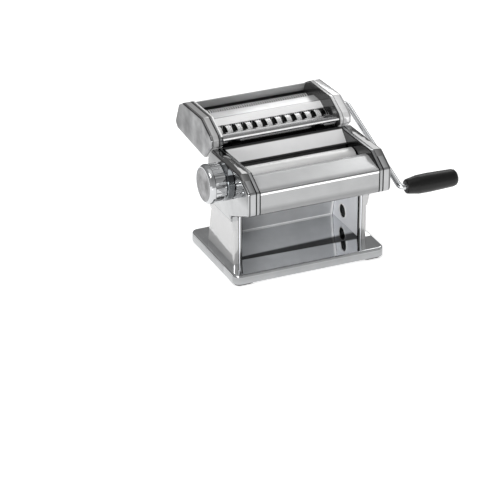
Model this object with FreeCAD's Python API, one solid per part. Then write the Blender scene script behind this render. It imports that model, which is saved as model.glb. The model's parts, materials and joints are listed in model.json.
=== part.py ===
import FreeCAD, Part
import math
import os

# Hand-cranked pasta roller with a lift-off double cutter unit.
# Millimetres. X runs along the rollers (+X is the crank side), +Y points to the rear, +Z up.
# The origin is the centre of the base, on the surface that the rubber feet stand on.

V = FreeCAD.Vector
X_AXIS = V(1, 0, 0)

# ---- driving dimensions ---------------------------------------------------------------------

SHEET_WIDTH = 150.0            # width of dough that the rollers take
FRAME_FACE = 76.0              # inner face of each body frame, from the middle
SEAM = 81.2                    # where each body frame meets its polished cover
HEAD_FACE = 92.4               # outside of the cover around the rollers
LEG_FACE = 87.6                # outside of the cover around the leg
FRAME_WALL = 1.6
COVER_WALL = 1.0
PANEL_WALL = 1.0

BASE_HALF_X = 98.4
BASE_HALF_Y = 68.8
BASE_BOTTOM = 3.0
BASE_TOP = 14.8
BASE_WALL = 1.5

ROLLER_R = 14.5
ROLLER_Z = 116.0
NIP_GAP = 0.6                  # thinnest setting, as stored
GAP_TRAVEL = 4.2               # added at the widest setting
FRONT_ROLLER_Y = -23.0
REAR_ROLLER_Y = FRONT_ROLLER_Y + 2 * ROLLER_R + NIP_GAP
JOURNAL_R = 6.0
RUNNING = 0.05                 # radial clearance of a turning shaft

KNOB_Y = FRONT_ROLLER_Y
KNOB_Z = 119.0
KNOB_R = 23.9
RING_R = 23.2
REGULATOR_R = 5.0
CAM_TURN = 270.0               # degrees of knob for the whole gap travel
CAM_SMALL = 7.0

CUT_FRAME_FACE = 76.0
CUT_SEAM = 80.6
CUT_FACE = 92.0
CUT_R = 10.5                   # outer radius of the cutting discs
CUT_CORE = 7.5                 # radius between the discs
CUT_DISTANCE = 19.0            # between the two axes of a pair
CUT_Z = 138.0
WIDE_FRONT_Y = 39.0
FINE_FRONT_Y = 90.5
WIDE_STRIP = 6.5
FINE_STRIP = 1.5
DISC_PLAY = 0.1                # side play between interleaved discs
CUT_JOURNAL = 4.0
SOCKET_R = 4.1
SOCKET_DEPTH = 14.0
KEY_R = 1.0                    # cross pin of the crank
KEY_HALF = 5.3
DRIVE_END_R = 6.5

CRANK_X = 119.5                # plane that the crank arm swings in
CRANK_ROD_R = 3.6
GRIP_Y = -63.3
GRIP_Z = 87.0
GRIP_START = 126.2
GRIP_LENGTH = 68.3

# Side view of the body: (Y, Z, corner radius), counter-clockwise. Two legs carry a wider head.
LEG_FRONT = -39.2
LEG_REAR = 39.5
HEAD_FRONT = -91.5
HEAD_REAR = 27.5
BLEND_LOW = 60.0               # the cover steps out from leg to head between these heights
BLEND_HIGH = 80.0
BODY = [
    (HEAD_FRONT, 101.5, 6.0), (LEG_FRONT, 79.0, 3.0), (LEG_FRONT, BASE_TOP, 0.0), (LEG_REAR, BASE_TOP, 0.0),
    (HEAD_REAR, 70.0, 8.0), (HEAD_REAR, 129.0, 8.0), (17.5, 141.7, 5.0), (-65.6, 145.2, 5.0),
    (HEAD_FRONT, 130.7, 4.0),
]
HEAD = [c for c in BODY if c[1] > BASE_TOP]
HEAD.insert(2, (LEG_FRONT, BLEND_LOW, 0.0))
HEAD.insert(3, (HEAD_REAR + (LEG_REAR - HEAD_REAR) * (70.0 - BLEND_LOW) / (70.0 - BASE_TOP), BLEND_LOW, 0.0))

# Side view of the cutter unit.
CUTTER = [
    (16.0, 145.2, 2.5), (38.3, 122.3, 5.0), (121.5, 127.3, 6.0), (128.3, 134.5, 5.0), (117.0, 160.5, 5.0),
    (103.5, 167.8, 6.0), (46.5, 170.3, 9.0), (20.0, 158.0, 4.0), (16.0, 153.2, 3.0),
]


# ---- geometry helpers -----------------------------------------------------------------------

def inset(corners, distance):
    """The counter-clockwise outline, moved inwards by distance; its corner radii follow."""
    moved = []
    count = len(corners)
    for i, (y, z, radius) in enumerate(corners):
        before = corners[i - 1]
        after = corners[(i + 1) % count]
        a = unit(y - before[0], z - before[1])
        b = unit(after[0] - y, after[1] - z)
        turn = a[0] * b[1] - a[1] * b[0]
        scale = distance / (1 + a[0] * b[0] + a[1] * b[1])
        new_radius = radius - distance if turn > 0 else radius + distance
        new_radius = max(new_radius, 0.0) if radius > 0 else 0.0
        moved.append((y - (a[1] + b[1]) * scale, z + (a[0] + b[0]) * scale, new_radius))
    return moved


def unit(y, z):
    length = math.hypot(y, z)
    return y / length, z / length


def rounded_wire(corners, x):
    """A closed wire in the plane X = x through corners (Y, Z, radius)."""
    spans = []
    count = len(corners)
    for i, (y, z, radius) in enumerate(corners):
        back = unit(corners[i - 1][0] - y, corners[i - 1][1] - z)
        ahead = unit(corners[(i + 1) % count][0] - y, corners[(i + 1) % count][1] - z)
        half = math.acos(max(-1.0, min(1.0, back[0] * ahead[0] + back[1] * ahead[1]))) / 2
        if radius < 0.01 or half > 1.5:
            spans.append([V(x, y, z)])
            continue
        run = radius / math.tan(half)
        middle = unit(back[0] + ahead[0], back[1] + ahead[1])
        reach = radius / math.sin(half) - radius
        spans.append([
            V(x, y + back[0] * run, z + back[1] * run),
            V(x, y + middle[0] * reach, z + middle[1] * reach),
            V(x, y + ahead[0] * run, z + ahead[1] * run),
        ])
    edges = []
    for i, span in enumerate(spans):
        if len(span) == 3:
            edges.append(Part.Arc(*span).toShape())
        start = span[-1]
        end = spans[(i + 1) % count][0]
        if start.distanceToPoint(end) > 1e-4:
            edges.append(Part.LineSegment(start, end).toShape())
    return Part.Wire(edges)


def prism(corners, x0, x1):
    """The outline in the YZ plane, run along X from x0 to x1."""
    return Part.Face(rounded_wire(corners, x0)).extrude(V(x1 - x0, 0, 0))


def sheet(path, thickness, x0, x1):
    """A folded sheet: path (Y, Z, bend radius) is one face, and the sheet lies to its left."""
    far = []
    last = len(path) - 1
    for i, (y, z, radius) in enumerate(path):
        a = unit(y - path[i - 1][0], z - path[i - 1][1]) if i else None
        b = unit(path[i + 1][0] - y, path[i + 1][1] - z) if i < last else None
        a = a or b
        b = b or a
        scale = thickness / (1 + a[0] * b[0] + a[1] * b[1])
        turn = a[0] * b[1] - a[1] * b[0]
        bend = radius - thickness if turn > 0 else radius + thickness
        far.append((y - (a[1] + b[1]) * scale, z + (a[0] + b[0]) * scale, max(bend, 0.3) if radius else 0.0))
    corners = [(p[0], p[1], p[2] if 0 < i < last else 0.0) for i, p in enumerate(path)]
    corners += [(p[0], p[1], p[2] if 0 < last - i < last else 0.0) for i, p in enumerate(reversed(far))]
    return prism(corners, x0, x1)


def block(x0, x1, y0, y1, z0, z1):
    return Part.makeBox(x1 - x0, y1 - y0, z1 - z0, V(x0, y0, z0))


def rod(radius, x0, x1, y, z):
    """A cylinder along X."""
    return Part.makeCylinder(radius, x1 - x0, V(x0, y, z), X_AXIS)


def tube(outer, inner, x0, x1, y, z):
    return rod(outer, x0, x1, y, z).cut(rod(inner, x0 - 1, x1 + 1, y, z))


def turned(profile, y, z):
    """A turned piece: profile (X, radius) spun about the line along X at Y, Z."""
    points = [V(x, r, 0) for x, r in profile]
    points = [V(points[0].x, 0, 0)] + points + [V(points[-1].x, 0, 0)]
    face = Part.Face(Part.makePolygon(points + [points[0]]))
    solid = face.revolve(V(0, 0, 0), X_AXIS, 360)
    solid.translate(V(0, y, z))
    return solid


def mirrored(shape):
    return shape.mirror(V(0, 0, 0), X_AXIS)


def edges_at_x(shape, x, lowest=-1e9):
    """The edges of shape in the plane X = x, above the height lowest."""
    found = []
    for edge in shape.Edges:
        box = edge.BoundBox
        if abs(box.XMin - x) < 1e-4 and abs(box.XMax - x) < 1e-4 and box.ZMax > lowest + 1e-3:
            found.append(edge)
    return found


def softened(shape, x, radius, lowest=-1e9):
    return shape.makeFillet(radius, edges_at_x(shape, x, lowest))


def group(shapes):
    return Part.makeCompound(list(shapes))


def involute(angle):
    return math.tan(angle) - angle


def gear(teeth, pitch_r, tip_r, root_r, thickness, phase, x0, x1, y, z, bore):
    """A spur gear with 20 degree involute flanks; thickness is the tooth's at the pitch circle."""
    pressure = math.radians(20)
    base_r = pitch_r * math.cos(pressure)
    flank = []
    steps = 6
    for i in range(steps + 1):
        r = max(base_r, root_r) + (tip_r - max(base_r, root_r)) * i / steps
        at = math.acos(min(1.0, base_r / r))
        flank.append((r, thickness / (2 * pitch_r) + involute(pressure) - involute(at)))
    points = []
    for tooth in range(teeth):
        middle = phase + tooth * 2 * math.pi / teeth
        polar = [(root_r, middle - flank[0][1])]
        polar += [(r, middle - half) for r, half in flank]
        polar += [(r, middle + half) for r, half in reversed(flank)]
        polar += [(root_r, middle + flank[0][1])]
        points += [V(x0, y + r * math.cos(a), z + r * math.sin(a)) for r, a in polar]
    body = Part.Face(Part.makePolygon(points + [points[0]])).extrude(V(x1 - x0, 0, 0))
    return body.cut(rod(bore, x0 - 1, x1 + 1, y, z))


# ---- base -----------------------------------------------------------------------------------

BOLT_X = 83.9
BOLT_Y = 22.0
BOLT_PLACES = [(sx * BOLT_X, sy * BOLT_Y) for sx in (-1, 1) for sy in (-1, 1)]
BOLT_R = 1.4
NUT_R = 2.7
TAB_TOP = BASE_TOP + FRAME_WALL


def base_pan(shrink, bottom):
    """The base's outer form, made smaller by shrink on the sides and top."""
    half_x = BASE_HALF_X - shrink
    half_y = BASE_HALF_Y - shrink
    pan = block(-half_x, half_x, -half_y, half_y, bottom, BASE_TOP - shrink)
    upright = [e for e in pan.Edges if e.BoundBox.ZLength > 1]
    pan = pan.makeFillet(9.0 - shrink, upright)
    top = [e for e in pan.Edges if e.BoundBox.ZMin > BASE_TOP - shrink - 1e-3]
    return pan.makeFillet(2.6 - shrink, top)


def base_plate():
    plate = base_pan(0.0, BASE_BOTTOM).cut(base_pan(BASE_WALL, BASE_BOTTOM - 2))
    for x, y in BOLT_PLACES:
        plate = plate.cut(Part.makeCylinder(BOLT_R + 0.15, 8, V(x, y, BASE_TOP - 5)))
    return plate


def rubber_feet():
    """Four corner blocks that fill the base's corners and stand below its rim."""
    feet = []
    ceiling = BASE_TOP - BASE_WALL
    for sx in (-1, 1):
        for sy in (-1, 1):
            x0, x1 = sorted((sx * 71.0, sx * 95.8))
            y0, y1 = sorted((sy * 50.0, sy * 66.2))
            foot = block(x0, x1, y0, y1, 0.0, ceiling)
            upright = [e for e in foot.Edges if e.BoundBox.ZLength > 1]
            foot = foot.makeFillet(6.5, upright)
            rim = [e for e in foot.Edges if e.BoundBox.ZMax < 1e-3 or e.BoundBox.ZMin > ceiling - 1e-3]
            feet.append(foot.makeFillet(1.2, rim))
    return group(feet)


def base_bolts():
    bolts = []
    for x, y in BOLT_PLACES:
        head_top = BASE_TOP - BASE_WALL
        head = Part.makeCylinder(2.8, 2.0, V(x, y, head_top - 2.0))
        shank = Part.makeCylinder(BOLT_R, TAB_TOP + 4.0 - head_top, V(x, y, head_top))
        slot = block(x - 0.4, x + 0.4, y - 3, y + 3, head_top - 2.2, head_top - 1.2)
        bolts.append(head.fuse(shank).cut(slot))
    return group(bolts)


def base_nuts():
    nuts = []
    for x, y in BOLT_PLACES:
        points = [V(x + NUT_R * math.cos(a), y + NUT_R * math.sin(a), TAB_TOP)
                  for a in [math.radians(90 + 60 * k) for k in range(6)]]
        nut = Part.Face(Part.makePolygon(points + [points[0]])).extrude(V(0, 0, 2.2))
        nuts.append(nut.cut(Part.makeCylinder(BOLT_R + RUNNING, 9, V(x, y, TAB_TOP - 1))))
    return group(nuts)


# ---- body frames and covers -------------------------------------------------------------------

TIE_PLACES = [(-78.0, 112.0), (17.0, 84.0)]
TIE_R = 3.0
TIE_STUD_R = 2.0
BUSH_R = 9.0
BLOCK_HALF = 9.5
BAR_Y = -44.0
BAR_Z = 112.0
BAR_R = 3.0
LEG_RIM = 2.0
LEG_WALL_FACE = 80.0           # in the leg the inner face is set back behind an inward rim
RECESS_TOP = 77.0
HOLE_Y = 11.6
HOLE_Z = 30.6
HOLE_R = 8.5


def open_below(corners, distance):
    """The outline moved inwards, but run out through the bottom of the leg."""
    return [(y, BASE_TOP - 1.0 if old[1] == BASE_TOP else z, r)
            for (y, z, r), old in zip(inset(corners, distance), corners)]


def slot_for(y, z, half_y, half_z, travel):
    """An opening in the frames for a piece that moves towards the front by travel."""
    return block(60, 95, y - half_y - travel, y + half_y, z - half_z, z + half_z)


def between(shape, low, high):
    """What of shape lies between two heights."""
    return shape.common(block(0, 120, -150, 150, low, high))


def right_frame():
    """A pressed side: flat towards the dough in the head, and dished between two rims in the leg."""
    frame = prism(BODY, FRAME_FACE, SEAM)
    frame = softened(frame, FRAME_FACE, 1.0, BASE_TOP)
    head_pocket = prism(inset(BODY, FRAME_WALL), FRAME_FACE + FRAME_WALL, SEAM + 1)
    leg_pocket = prism(open_below(BODY, LEG_RIM), FRAME_FACE - 1, LEG_WALL_FACE)
    frame = frame.cut(between(head_pocket, RECESS_TOP + FRAME_WALL, 160))
    frame = frame.cut(between(leg_pocket, 0, RECESS_TOP))
    frame = frame.fuse(block(LEG_WALL_FACE, LEG_FACE - COVER_WALL - 0.2, -32.0, 32.0, BASE_TOP, TAB_TOP))
    for x, y in BOLT_PLACES:
        frame = frame.cut(Part.makeCylinder(BOLT_R + 0.15, 8, V(x, y, BASE_TOP - 2)))
    for y, z in TIE_PLACES:
        frame = frame.cut(rod(TIE_STUD_R + RUNNING, 60, 95, y, z))
    frame = frame.cut(rod(BUSH_R, 60, 95, REAR_ROLLER_Y, ROLLER_Z))
    frame = frame.cut(slot_for(FRONT_ROLLER_Y, ROLLER_Z, BLOCK_HALF + 0.3, BLOCK_HALF + 0.3, GAP_TRAVEL))
    return frame.cut(slot_for(BAR_Y, BAR_Z, BAR_R + 0.3, BAR_R + 0.3, GAP_TRAVEL))


def clamp_frame():
    """The right frame has the collared hole that the table clamp's rod goes into."""
    frame = right_frame()
    mouth = LEG_WALL_FACE - 0.6
    end = LEG_FACE - COVER_WALL - 0.4
    collar = tube(HOLE_R + 1.2, HOLE_R, mouth, end, HOLE_Y, HOLE_Z)
    return frame.fuse(collar).cut(rod(HOLE_R, mouth, end, HOLE_Y, HOLE_Z))


def cover_form(depth, start):
    """The cover's form, moved inwards by depth; the head stands further out than the leg."""
    leg_face = LEG_FACE - depth
    head_face = HEAD_FACE - depth
    outline = open_below(BODY, depth) if depth else BODY
    leg = softened(prism(outline, start, leg_face), leg_face, 3.0 - depth, BASE_TOP)
    head = prism(inset(HEAD, depth), start, head_face)
    head = softened(head, head_face, 3.6 - depth, BLEND_LOW + depth)
    limit = [(start - 1, BLEND_LOW - 5), (leg_face - 0.8, BLEND_LOW - 5), (leg_face, BLEND_LOW),
             (head_face, BLEND_HIGH), (head_face, 160), (start - 1, 160)]
    points = [V(x, -120, z) for x, z in limit]
    blend = Part.Face(Part.makePolygon(points + [points[0]])).extrude(V(0, 240, 0))
    return leg.fuse(head.common(blend))


def right_cover():
    cover = cover_form(0.0, SEAM).cut(cover_form(COVER_WALL, SEAM - 1))
    return cover.removeSplitter()


def left_side_cover():
    """The left cover, with the hole for the regulator housing."""
    return mirrored(right_cover()).cut(rod(8.8, -100, -85, KNOB_Y, KNOB_Z))


def right_side_cover():
    """The right cover, with the hole for the crank above the rear roller's shaft."""
    return right_cover().cut(rod(8.0, 85, 100, REAR_ROLLER_Y, ROLLER_Z))


def tie_rods():
    rods = []
    for y, z in TIE_PLACES:
        bar = rod(TIE_R, -FRAME_FACE, FRAME_FACE, y, z)
        stud = rod(TIE_STUD_R, -FRAME_FACE - 4.6, FRAME_FACE + 4.6, y, z)
        rods.append(bar.fuse(stud))
    return group(rods)


def hex_nut(radius, bore, x0, x1, y, z):
    points = [V(x0, y + radius * math.cos(a), z + radius * math.sin(a))
              for a in [math.radians(60 * k) for k in range(6)]]
    nut = Part.Face(Part.makePolygon(points + [points[0]])).extrude(V(x1 - x0, 0, 0))
    return nut.cut(rod(bore, x0 - 1, x1 + 1, y, z))


def tie_rod_nuts():
    nuts = []
    for y, z in TIE_PLACES:
        inner = FRAME_FACE + FRAME_WALL
        nut = hex_nut(4.0, TIE_STUD_R + RUNNING, inner, inner + 2.6, y, z)
        nuts += [nut, mirrored(nut)]
    return group(nuts)


# ---- panels between the frames ----------------------------------------------------------------

def front_cover():
    """Lower return, front face, sloping face and the fold that leads dough to the rollers."""
    path = [(-47.0, 127.0, 0), (-54.0, 136.2, 2.0), (-61.7, 137.1, 2.0), (HEAD_FRONT, 130.7, 2.5),
            (HEAD_FRONT, 101.5, 6.0), (-60.0, 88.0, 0)]
    return sheet(path, PANEL_WALL, -FRAME_FACE, FRAME_FACE)


def hopper_plate():
    """Slides dough into the nip, and folds back over the top of the body."""
    path = [(16.9, 141.7, 0), (10.4, 142.0, 1.8), (-4.8, 128.0, 0)]
    return sheet(path, PANEL_WALL, -FRAME_FACE, FRAME_FACE)


def rear_cover():
    path = [(HEAD_REAR, 71.0, 0), (HEAD_REAR, 129.0, 8.0), (17.7, 141.4, 0)]
    return sheet(path, PANEL_WALL, -FRAME_FACE, FRAME_FACE)


def rear_panel():
    path = [(LEG_REAR - 0.35, BASE_TOP + 0.25, 0), (HEAD_REAR + 0.2, 69.5, 0)]
    return sheet(path, PANEL_WALL, -FRAME_FACE, FRAME_FACE)


# ---- smooth rollers ---------------------------------------------------------------------------

GEAR_X0 = 81.4
GEAR_X1 = 87.4
GEAR_TEETH = 10
GEAR_TIP = 17.7                # long teeth stay in mesh as the gap opens
GEAR_ROOT = 11.4
GEAR_TOOTH = 4.2
SHAFT_LEFT = -82.0


def smooth_roller(y):
    """An aluminium sleeve with slightly eased ends."""
    half = SHEET_WIDTH / 2
    sleeve = tube(ROLLER_R, JOURNAL_R, -half, half, y, ROLLER_Z)
    rims = [e for e in sleeve.Edges if e.BoundBox.ZLength > 2 * ROLLER_R - 0.1 and e.BoundBox.XLength < 0.1]
    return sleeve.makeFillet(0.6, rims)


def socketed(shaft, y, z, mouth):
    """Cuts the crank socket into the right end of a shaft: a round bore with a key slot across it."""
    bore = rod(SOCKET_R, mouth - SOCKET_DEPTH, mouth + 1, y, z)
    key = block(mouth - 4.0, mouth + 1, y - 5.6, y + 5.6, z - KEY_R - 0.3, z + KEY_R + 0.3)
    return shaft.cut(bore).cut(key)


def rear_roller_shaft():
    shaft = rod(JOURNAL_R, SHAFT_LEFT, HEAD_FACE - 1.4, REAR_ROLLER_Y, ROLLER_Z)
    shaft = shaft.fuse(rod(DRIVE_END_R + 0.4, GEAR_X1 + 0.4, HEAD_FACE + 0.6, REAR_ROLLER_Y, ROLLER_Z))
    return socketed(shaft, REAR_ROLLER_Y, ROLLER_Z, HEAD_FACE + 0.6)


def front_roller_shaft():
    return rod(JOURNAL_R, SHAFT_LEFT, GEAR_X1 + 1.0, FRONT_ROLLER_Y, ROLLER_Z)


def roller_gear(y, phase):
    pitch_r = ROLLER_R + NIP_GAP / 2
    return gear(GEAR_TEETH, pitch_r, GEAR_TIP, GEAR_ROOT, GEAR_TOOTH, phase,
                GEAR_X0, GEAR_X1, y, ROLLER_Z, JOURNAL_R)


def rear_roller_bushes():
    inner = FRAME_FACE + FRAME_WALL
    sleeve = rod(BUSH_R, FRAME_FACE, inner + 3.0, REAR_ROLLER_Y, ROLLER_Z)
    flange = rod(BUSH_R + 2.0, inner, inner + 1.4, REAR_ROLLER_Y, ROLLER_Z)
    bush = sleeve.fuse(flange).cut(rod(JOURNAL_R + RUNNING, 60, 95, REAR_ROLLER_Y, ROLLER_Z))
    return group([bush, mirrored(bush)])


def bearing_blocks():
    """Blocks that slide in the frames and carry the front roller; an arm reaches the carriage bar."""
    inner = FRAME_FACE + FRAME_WALL + 0.3
    y = FRONT_ROLLER_Y
    z = ROLLER_Z
    half = BLOCK_HALF
    body = block(FRAME_FACE + 0.3, inner + 2.6, y - half, y + half, z - half, z + half)
    plate = block(inner, inner + 2.0, BAR_Y - 5.0, y + half + 2.0, z - half - 1.5, z + half + 1.5)
    piece = body.fuse(plate)
    piece = piece.cut(rod(JOURNAL_R + RUNNING, 60, 95, y, z))
    piece = piece.cut(rod(BAR_R, 60, 95, BAR_Y, BAR_Z)).removeSplitter()
    return group([piece, mirrored(piece)])


def carriage_bar():
    reach = FRAME_FACE + FRAME_WALL + 2.3
    return rod(BAR_R, -reach, reach, BAR_Y, BAR_Z)


def front_scraper():
    """A thin blade on the carriage bar that keeps dough off the adjustable roller."""
    path = [(-33.2, 104.3, 0), (BAR_Y + 1.0, BAR_Z - BAR_R, 0), (BAR_Y - 3.0, BAR_Z - BAR_R, 0)]
    return sheet(path, 0.8, -72.0, 72.0).cut(rod(BAR_R, -80, 80, BAR_Y, BAR_Z))


def rear_scraper():
    """A fixed blade under the rear roller."""
    path = [(HEAD_REAR - PANEL_WALL, 95.0, 0), (24.0, 97.0, 1.2), (16.4, 104.2, 0)]
    return sheet(path, 0.8, -FRAME_FACE, FRAME_FACE)


# ---- thickness regulator ------------------------------------------------------------------------

CAM_X0 = -87.6
CAM_X1 = -83.6
PIN_R = 2.0
CAM_GAP = 0.3
GROOVE_R = 18.5
INDEX_R = 1.6
HOUSING_OUT = -97.6
KNOB_IN = -98.2
KNOB_OUT = -119.0
CAP_R = 20.0
SPRING_R = 7.2
SPRING_WIRE = 0.55
SPRING_TURNS = 3.0


def cam_follower_pin():
    """A stud on the left bearing block that the cam pushes to the rear."""
    y = KNOB_Y + CAM_SMALL + GAP_TRAVEL + CAM_GAP + PIN_R
    block_face = -(FRAME_FACE + FRAME_WALL + 2.3)
    return rod(PIN_R, CAM_X0, block_face, y, KNOB_Z)


def regulator_cam():
    """A spiral disc: turning it by CAM_TURN lets the follower move in by GAP_TRAVEL."""
    points = []
    sweep = math.radians(CAM_TURN)
    steps = 90
    for i in range(steps + 1):
        back = sweep * i / steps
        r = CAM_SMALL + GAP_TRAVEL * (1 - i / steps)
        points.append((r, -back))
    closing = 2 * math.pi - sweep
    for i in range(1, 12):
        part = i / 12
        points.append((CAM_SMALL + GAP_TRAVEL * part, -(sweep + closing * part)))
    ring = [V(CAM_X0, KNOB_Y + r * math.cos(a), KNOB_Z + r * math.sin(a)) for r, a in points]
    cam = Part.Face(Part.makePolygon(ring + [ring[0]])).extrude(V(CAM_X1 - CAM_X0, 0, 0))
    return cam.cut(rod(REGULATOR_R, CAM_X0 - 1, CAM_X1 + 1, KNOB_Y, KNOB_Z))


def regulator_shaft():
    shaft = rod(REGULATOR_R, KNOB_OUT + 5.0, CAM_X1, KNOB_Y, KNOB_Z)
    flat = block(KNOB_OUT, HOUSING_OUT - 1.0, KNOB_Y - 6, KNOB_Y + 6, KNOB_Z + 3.9, KNOB_Z + 7)
    return shaft.cut(flat)


def regulator_washer():
    """Holds the spring on the end of the shaft."""
    return tube(SPRING_R + 1.4, REGULATOR_R, KNOB_OUT + 5.0, KNOB_OUT + 6.2, KNOB_Y, KNOB_Z)


def regulator_housing():
    """The round plate behind the knob: bearing, index groove and its ten dimples."""
    boss_in = CAM_X0 - 0.5
    profile = [(HOUSING_OUT, RING_R - 2.2), (HOUSING_OUT + 1.6, RING_R), (-HEAD_FACE, RING_R),
               (-HEAD_FACE, 8.7), (boss_in, 8.7)]
    housing = turned(profile, KNOB_Y, KNOB_Z)
    housing = housing.cut(rod(REGULATOR_R + RUNNING, -120, -80, KNOB_Y, KNOB_Z))
    groove = tube(GROOVE_R + INDEX_R + 0.4, GROOVE_R - INDEX_R - 0.4, HOUSING_OUT - 1, HOUSING_OUT + 2.2,
                  KNOB_Y, KNOB_Z)
    housing = housing.cut(groove)
    for step in range(10):
        angle = math.radians(90 - step * CAM_TURN / 9)
        y = KNOB_Y + GROOVE_R * math.cos(angle)
        z = KNOB_Z + GROOVE_R * math.sin(angle)
        housing = housing.cut(rod(INDEX_R, HOUSING_OUT, HOUSING_OUT + 3.6, y, z))
    return housing


def knob():
    """Fluted knob, hollow for the spring; it slides on the flatted shaft."""
    profile = [(KNOB_OUT, CAP_R + 1.4), (KNOB_OUT + 2.0, KNOB_R - 0.6), (KNOB_OUT + 4.2, KNOB_R),
               (KNOB_OUT + 6.4, KNOB_R), (KNOB_OUT + 7.4, KNOB_R - 0.6), (KNOB_IN - 1.0, KNOB_R - 0.6),
               (KNOB_IN, KNOB_R - 1.6)]
    body = turned(profile, KNOB_Y, KNOB_Z)
    for step in range(12):
        angle = math.radians(15 + 30 * step)
        y = KNOB_Y + (KNOB_R + 3.4) * math.cos(angle)
        z = KNOB_Z + (KNOB_R + 3.4) * math.sin(angle)
        body = body.cut(rod(5.6, KNOB_OUT + 7.4, KNOB_IN + 1, y, z))
    body = body.cut(rod(CAP_R, KNOB_OUT - 1, KNOB_OUT + 1.6, KNOB_Y, KNOB_Z))
    body = body.cut(rod(10.0, KNOB_OUT, KNOB_OUT + 14.4, KNOB_Y, KNOB_Z))
    body = body.cut(rod(REGULATOR_R + RUNNING, KNOB_OUT, KNOB_IN + 1, KNOB_Y, KNOB_Z))
    y = KNOB_Y
    z = KNOB_Z + GROOVE_R
    return body.cut(rod(INDEX_R, KNOB_IN - 6.0, KNOB_IN + 1, y, z))


def knob_cap():
    """The disc that closes the knob's face."""
    cap = rod(CAP_R, KNOB_OUT + 0.1, KNOB_OUT + 1.6, KNOB_Y, KNOB_Z)
    rim = edges_at_x(cap, KNOB_OUT + 0.1)
    return cap.makeFillet(0.6, rim)


def index_pin():
    """Pressed into the knob; its rounded tip runs in the housing's groove."""
    pin = rod(INDEX_R, KNOB_IN - 6.0, HOUSING_OUT + 1.9, KNOB_Y, KNOB_Z + GROOVE_R)
    return pin.makeFillet(1.2, edges_at_x(pin, HOUSING_OUT + 1.9))


def knob_spring():
    """Pushes the knob against the housing; it seats between the knob's hub and the washer."""
    start = KNOB_OUT + 6.2 + SPRING_WIRE + 0.05
    end = KNOB_OUT + 14.4 - SPRING_WIRE - 0.05
    helix = Part.makeHelix((end - start) / SPRING_TURNS, end - start, SPRING_R)
    helix.rotate(V(0, 0, 0), V(0, 1, 0), 90)
    helix.translate(V(start, KNOB_Y, KNOB_Z))
    first = helix.Edges[0]
    at = first.FirstParameter
    ring = Part.Wire(Part.makeCircle(SPRING_WIRE, first.valueAt(at), first.tangentAt(at)))
    return Part.Wire(helix).makePipeShell([ring], True, True)


# ---- cutter unit --------------------------------------------------------------------------------

WIDE_REAR_Y = WIDE_FRONT_Y + CUT_DISTANCE
FINE_REAR_Y = FINE_FRONT_Y + CUT_DISTANCE
CUT_AXES = [WIDE_FRONT_Y, WIDE_REAR_Y, FINE_FRONT_Y, FINE_REAR_Y]
CUT_TIES = [(24.0, 148.3), (73.5, 145.5)]
CUT_TIE_R = 2.2
CUT_TIE_STUD = 1.6
LEFT_BUSH_R = 6.5
RIGHT_BUSH_R = 8.6
CUT_GEAR_IN = 82.0
CUT_GEAR_OUT = 87.0
CUT_TEETH = 16
CUT_MODULE = CUT_DISTANCE / CUT_TEETH


def cutter_frame(bush_r):
    """A pressed pan like the body frames, with holes for four bushes and the tie rods."""
    frame = prism(CUTTER, CUT_FRAME_FACE, CUT_SEAM)
    frame = softened(frame, CUT_FRAME_FACE, 0.9)
    frame = frame.cut(prism(inset(CUTTER, FRAME_WALL), CUT_FRAME_FACE + FRAME_WALL, CUT_SEAM + 1))
    for y in CUT_AXES:
        frame = frame.cut(rod(bush_r, 60, 95, y, CUT_Z))
    for y, z in CUT_TIES:
        frame = frame.cut(rod(CUT_TIE_STUD + RUNNING, 60, 95, y, z))
    return frame


def cutter_cover():
    outer = softened(prism(CUTTER, CUT_SEAM, CUT_FACE), CUT_FACE, 2.4)
    inner = prism(inset(CUTTER, COVER_WALL), CUT_SEAM - 1, CUT_FACE - COVER_WALL)
    return outer.cut(softened(inner, CUT_FACE - COVER_WALL, 1.4))


def cutter_left_cover():
    return mirrored(cutter_cover())


def cutter_right_cover():
    """The right cover, with a hole above each drive socket."""
    cover = cutter_cover()
    for y in (WIDE_REAR_Y, FINE_FRONT_Y):
        cover = cover.cut(rod(DRIVE_END_R + 1.0, 85, 100, y, CUT_Z))
    return cover


def cutter_bushes():
    inner = CUT_FRAME_FACE + FRAME_WALL
    bushes = []
    for y in CUT_AXES:
        right = rod(RIGHT_BUSH_R, CUT_FRAME_FACE, inner + 2.4, y, CUT_Z)
        bushes.append(right.cut(rod(DRIVE_END_R + RUNNING, 60, 95, y, CUT_Z)))
        left = rod(LEFT_BUSH_R, -inner - 2.4, -CUT_FRAME_FACE, y, CUT_Z)
        bushes.append(left.cut(rod(CUT_JOURNAL + RUNNING, -95, -60, y, CUT_Z)))
    return group(bushes)


def cutter_tie_rods():
    rods = []
    for y, z in CUT_TIES:
        bar = rod(CUT_TIE_R, -CUT_FRAME_FACE, CUT_FRAME_FACE, y, z)
        stud = rod(CUT_TIE_STUD, -CUT_FRAME_FACE - 4.0, CUT_FRAME_FACE + 4.0, y, z)
        rods.append(bar.fuse(stud))
    return group(rods)


def cutter_nuts():
    nuts = []
    for y, z in CUT_TIES:
        inner = CUT_FRAME_FACE + FRAME_WALL
        nut = hex_nut(3.1, CUT_TIE_STUD + RUNNING, inner, inner + 2.0, y, z)
        nuts += [nut, mirrored(nut)]
    return group(nuts)


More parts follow.
